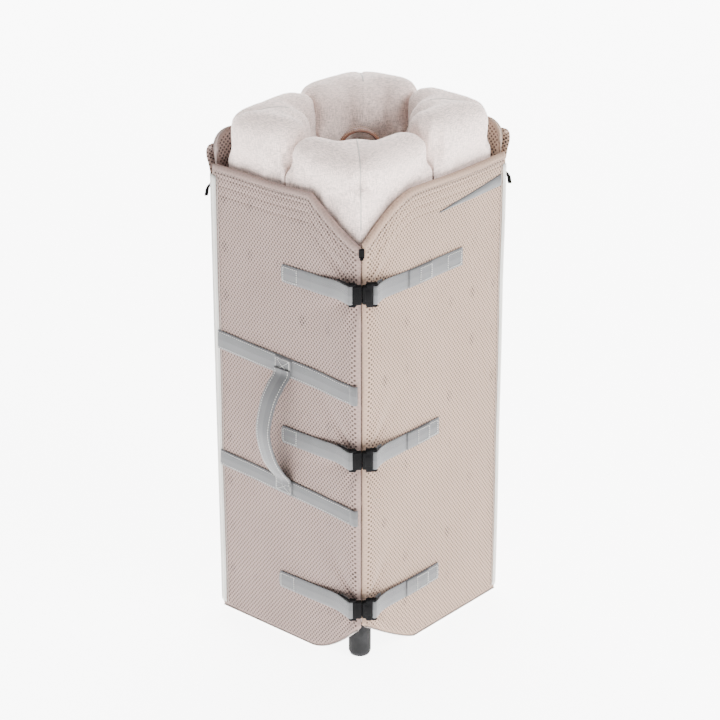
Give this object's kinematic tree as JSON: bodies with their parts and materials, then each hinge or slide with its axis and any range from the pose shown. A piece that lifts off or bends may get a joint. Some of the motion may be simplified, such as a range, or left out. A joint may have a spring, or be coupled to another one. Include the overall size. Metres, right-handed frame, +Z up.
{
  "type": "playpen",
  "caption": "Travel playpen folded into an upright bundle: tubular frame with hinged rails and legs round a hub, fabric corner covers, and a buckled padded mesh cover with a carry handle.",
  "frame": {"origin": "on the floor, under the middle of the folded object's box", "axes": "+Z up; the buckled front corner points to +X -Y, the left corner to -X -Y, the right corner to +X +Y"},
  "size_m": [0.3154, 0.375, 0.8239],
  "materials": {
    "frame_tube": "satin powder coat, warm grey",
    "frame_plastic": "moulded, fine texture",
    "foot_rubber": "matt black",
    "button_plastic": "satin",
    "corner_fabric": "heather light grey woven",
    "side_netting": "open knitted net",
    "spacer_mesh": "beige three-layer spacer mesh",
    "grey_webbing": "flat woven webbing",
    "brown_leather": "smooth with stitched edges",
    "buckle_plastic": "moulded black",
    "zip_tape": "woven tape"
  },
  "bodies": {
    "front_post": {"post_front": "frame_tube", "corner_housing_front": "frame_plastic", "foot_front": "foot_rubber", "corner_cover_front": "corner_fabric", "side_mesh_front": "side_netting"},
    "left_post": {"post_left": "frame_tube", "corner_housing_left": "frame_plastic", "foot_left": "foot_rubber", "corner_cover_left": "corner_fabric", "side_mesh_left": "side_netting"},
    "right_post": {"post_right": "frame_tube", "corner_housing_right": "frame_plastic", "foot_right": "foot_rubber", "corner_cover_right": "corner_fabric", "side_mesh_right": "side_netting"},
    "back_post": {"post_back": "frame_tube", "corner_housing_back": "frame_plastic", "foot_back": "foot_rubber", "corner_cover_back": "corner_fabric", "side_mesh_back": "side_netting"},
    "front_leg": {"leg_front": "frame_tube"},
    "left_leg": {"leg_left": "frame_tube"},
    "right_leg": {"leg_right": "frame_tube"},
    "back_leg": {"leg_back": "frame_tube"},
    "hub": {"hub": "frame_plastic"},
    "pull_strap": {"pull_strap_webbing": "grey_webbing", "pull_strap_grip": "brown_leather"},
    "rail_front_to_left": {"half_rail_front_to_left": "frame_tube"},
    "rail_left_to_front": {"half_rail_left_to_front": "frame_tube"},
    "rail_front_to_right": {"half_rail_front_to_right": "frame_tube"},
    "rail_right_to_front": {"half_rail_right_to_front": "frame_tube"},
    "rail_back_to_right": {"half_rail_back_to_right": "frame_tube"},
    "rail_right_to_back": {"half_rail_right_to_back": "frame_tube"},
    "rail_back_to_left": {"half_rail_back_to_left": "frame_tube"},
    "rail_left_to_back": {"half_rail_left_to_back": "frame_tube"},
    "latch_left_front": {"rail_latch_left_front": "frame_plastic"},
    "latch_right_front": {"rail_latch_right_front": "frame_plastic"},
    "latch_right_back": {"rail_latch_right_back": "frame_plastic"},
    "latch_left_back": {"rail_latch_left_back": "frame_plastic"},
    "button_left_front": {"latch_button_left_front": "button_plastic"},
    "button_right_front": {"latch_button_right_front": "button_plastic"},
    "button_right_back": {"latch_button_right_back": "button_plastic"},
    "button_left_back": {"latch_button_left_back": "button_plastic"},
    "front_cover": {"cover_panel_left_front": "spacer_mesh", "cover_panel_right_front": "spacer_mesh", "closure_straps_left": "grey_webbing", "closure_straps_right": "grey_webbing", "handle_bands": "grey_webbing", "buckle_sockets": "buckle_plastic"},
    "back_cover": {"cover_panel_left_back": "spacer_mesh", "zip_tape_left": "zip_tape"},
    "back_flap": {"cover_panel_right_back": "spacer_mesh", "zip_tape_right": "zip_tape"},
    "carry_handle": {"carry_handle": "grey_webbing"},
    "buckle_plug_top": {"buckle_plug_top": "buckle_plastic"},
    "buckle_plug_middle": {"buckle_plug_middle": "buckle_plastic"},
    "buckle_plug_bottom": {"buckle_plug_bottom": "buckle_plastic"},
    "zip_slider_left": {"zip_slider_left": "buckle_plastic"},
    "zip_slider_right": {"zip_slider_right": "buckle_plastic"}
  },
  "joints": [
    {"name": "frame_unfold", "type": "hinge", "parent": "front_post", "child": "front_leg", "pos_m": [0.03849, -0.06549, 0.04], "axis": [-0.5595, -0.8288, 0], "range_deg": [0, 90]},
    {"name": "hub_level", "type": "hinge", "parent": "front_leg", "child": "hub", "pos_m": [0.03849, -0.06549, 0.5226], "axis": [-0.5595, -0.8288, 0], "range_deg": [-90, 0]},
    {"name": "left_leg_swing", "type": "hinge", "parent": "hub", "child": "left_leg", "pos_m": [-0.04461, -0.06549, 0.5226], "axis": [-0.5595, 0.8288, 0], "range_deg": [0, 90]},
    {"name": "left_post_level", "type": "hinge", "parent": "left_leg", "child": "left_post", "pos_m": [-0.04461, -0.06549, 0.04], "axis": [-0.5595, 0.8288, 0], "range_deg": [-90, 0]},
    {"name": "right_leg_swing", "type": "hinge", "parent": "hub", "child": "right_leg", "pos_m": [0.03849, 0.09739, 0.5226], "axis": [0.5595, -0.8288, 0], "range_deg": [0, 90]},
    {"name": "right_post_level", "type": "hinge", "parent": "right_leg", "child": "right_post", "pos_m": [0.03849, 0.09739, 0.04], "axis": [0.5595, -0.8288, 0], "range_deg": [-90, 0]},
    {"name": "back_leg_swing", "type": "hinge", "parent": "hub", "child": "back_leg", "pos_m": [-0.04461, 0.09739, 0.5226], "axis": [0.5595, 0.8288, 0], "range_deg": [0, 90]},
    {"name": "back_post_level", "type": "hinge", "parent": "back_leg", "child": "back_post", "pos_m": [-0.04461, 0.09739, 0.04], "axis": [0.5595, 0.8288, 0], "range_deg": [-90, 0]},
    {"name": "rail_swing_front_to_left", "type": "hinge", "parent": "front_post", "child": "rail_front_to_left", "pos_m": [0.02494, -0.11305, 0.715], "axis": [0, 1, 0], "range_deg": [0, 90]},
    {"name": "rail_swing_left_to_front", "type": "hinge", "parent": "left_post", "child": "rail_left_to_front", "pos_m": [-0.03106, -0.11305, 0.715], "axis": [0, -1, 0], "range_deg": [0, 90]},
    {"name": "rail_swing_front_to_right", "type": "hinge", "parent": "front_post", "child": "rail_front_to_right", "pos_m": [0.10894, -0.01205, 0.715], "axis": [1, 0, 0], "range_deg": [0, 90]},
    {"name": "rail_swing_right_to_front", "type": "hinge", "parent": "right_post", "child": "rail_right_to_front", "pos_m": [0.10894, 0.04395, 0.715], "axis": [-1, 0, 0], "range_deg": [0, 90]},
    {"name": "rail_swing_back_to_right", "type": "hinge", "parent": "back_post", "child": "rail_back_to_right", "pos_m": [-0.03106, 0.14495, 0.715], "axis": [0, -1, 0], "range_deg": [0, 90]},
    {"name": "rail_swing_right_to_back", "type": "hinge", "parent": "right_post", "child": "rail_right_to_back", "pos_m": [0.02494, 0.14495, 0.715], "axis": [0, 1, 0], "range_deg": [0, 90]},
    {"name": "rail_swing_back_to_left", "type": "hinge", "parent": "back_post", "child": "rail_back_to_left", "pos_m": [-0.11506, 0.04395, 0.715], "axis": [-1, 0, 0], "range_deg": [0, 90]},
    {"name": "rail_swing_left_to_back", "type": "hinge", "parent": "left_post", "child": "rail_left_to_back", "pos_m": [-0.11506, -0.01205, 0.715], "axis": [1, 0, 0], "range_deg": [0, 90]},
    {"name": "latch_level_left_front", "type": "hinge", "parent": "rail_front_to_left", "child": "latch_left_front", "pos_m": [0.02494, -0.11305, 0.315], "axis": [0, 1, 0], "range_deg": [-90, 0]},
    {"name": "latch_level_right_front", "type": "hinge", "parent": "rail_front_to_right", "child": "latch_right_front", "pos_m": [0.10894, -0.01205, 0.445], "axis": [1, 0, 0], "range_deg": [-90, 0]},
    {"name": "latch_level_right_back", "type": "hinge", "parent": "rail_back_to_right", "child": "latch_right_back", "pos_m": [-0.03106, 0.14495, 0.315], "axis": [0, -1, 0], "range_deg": [-90, 0]},
    {"name": "latch_level_left_back", "type": "hinge", "parent": "rail_back_to_left", "child": "latch_left_back", "pos_m": [-0.11506, 0.04395, 0.445], "axis": [-1, 0, 0], "range_deg": [-90, 0]},
    {"name": "press_latch_left_front", "type": "slide", "parent": "latch_left_front", "child": "button_left_front", "axis": [0, 0, 1], "range_m": [0, 0.004], "stiffness_N_per_m": 600, "springref_m": -0.001},
    {"name": "press_latch_right_front", "type": "slide", "parent": "latch_right_front", "child": "button_right_front", "axis": [0, 0, 1], "range_m": [0, 0.004], "stiffness_N_per_m": 600, "springref_m": -0.001},
    {"name": "press_latch_right_back", "type": "slide", "parent": "latch_right_back", "child": "button_right_back", "axis": [0, 0, 1], "range_m": [0, 0.004], "stiffness_N_per_m": 600, "springref_m": -0.001},
    {"name": "press_latch_left_back", "type": "slide", "parent": "latch_left_back", "child": "button_left_back", "axis": [0, 0, 1], "range_m": [0, 0.004], "stiffness_N_per_m": 600, "springref_m": -0.001},
    {"name": "pull_strap_lies_down", "type": "hinge", "parent": "hub", "child": "pull_strap", "pos_m": [-0.00306, 0.01595, 0.5466], "axis": [0.7071, 0.7071, 0], "range_deg": [0, 84]},
    {"name": "front_cover_off", "type": "slide", "parent": "front_post", "child": "front_cover", "axis": [0.7071, -0.7071, 0], "range_m": [0, 0.45]},
    {"name": "back_cover_off", "type": "slide", "parent": "back_post", "child": "back_cover", "axis": [-0.7071, 0.7071, 0], "range_m": [0, 0.45]},
    {"name": "back_flap_opens", "type": "hinge", "parent": "back_cover", "child": "back_flap", "pos_m": [-0.14956, 0.17945, 0], "axis": [0, 0, 1], "range_deg": [0, 90]},
    {"name": "carry_handle_swing", "type": "hinge", "parent": "front_cover", "child": "carry_handle", "pos_m": [-0.00906, -0.14755, 0.357], "axis": [0, 0, 1], "range_deg": [-30, 30]},
    {"name": "release_buckle_top", "type": "slide", "parent": "front_cover", "child": "buckle_plug_top", "axis": [-0.7071, -0.7071, 0], "range_m": [0, 0.03]},
    {"name": "release_buckle_middle", "type": "slide", "parent": "front_cover", "child": "buckle_plug_middle", "axis": [-0.7071, -0.7071, 0], "range_m": [0, 0.03]},
    {"name": "release_buckle_bottom", "type": "slide", "parent": "front_cover", "child": "buckle_plug_bottom", "axis": [-0.7071, -0.7071, 0], "range_m": [0, 0.03]},
    {"name": "zip_left", "type": "slide", "parent": "back_cover", "child": "zip_slider_left", "axis": [0, 0, -1], "range_m": [0, 0.66]},
    {"name": "zip_right", "type": "slide", "parent": "back_flap", "child": "zip_slider_right", "axis": [0, 0, -1], "range_m": [0, 0.66]}
  ],
  "couplings": [
    {"joint": "hub_level", "follows": "frame_unfold", "ratio": -1},
    {"joint": "left_leg_swing", "follows": "frame_unfold", "ratio": 1},
    {"joint": "left_post_level", "follows": "frame_unfold", "ratio": -1},
    {"joint": "right_leg_swing", "follows": "frame_unfold", "ratio": 1},
    {"joint": "right_post_level", "follows": "frame_unfold", "ratio": -1},
    {"joint": "back_leg_swing", "follows": "frame_unfold", "ratio": 1},
    {"joint": "back_post_level", "follows": "frame_unfold", "ratio": -1},
    {"joint": "rail_swing_front_to_left", "follows": "frame_unfold", "ratio": 1},
    {"joint": "rail_swing_left_to_front", "follows": "frame_unfold", "ratio": 1},
    {"joint": "rail_swing_front_to_right", "follows": "frame_unfold", "ratio": 1},
    {"joint": "rail_swing_right_to_front", "follows": "frame_unfold", "ratio": 1},
    {"joint": "rail_swing_back_to_right", "follows": "frame_unfold", "ratio": 1},
    {"joint": "rail_swing_right_to_back", "follows": "frame_unfold", "ratio": 1},
    {"joint": "rail_swing_back_to_left", "follows": "frame_unfold", "ratio": 1},
    {"joint": "rail_swing_left_to_back", "follows": "frame_unfold", "ratio": 1},
    {"joint": "latch_level_left_front", "follows": "frame_unfold", "ratio": -1},
    {"joint": "latch_level_right_front", "follows": "frame_unfold", "ratio": -1},
    {"joint": "latch_level_right_back", "follows": "frame_unfold", "ratio": -1},
    {"joint": "latch_level_left_back", "follows": "frame_unfold", "ratio": -1},
    {"joint": "pull_strap_lies_down", "follows": "frame_unfold", "ratio": 0.93333}
  ]
}
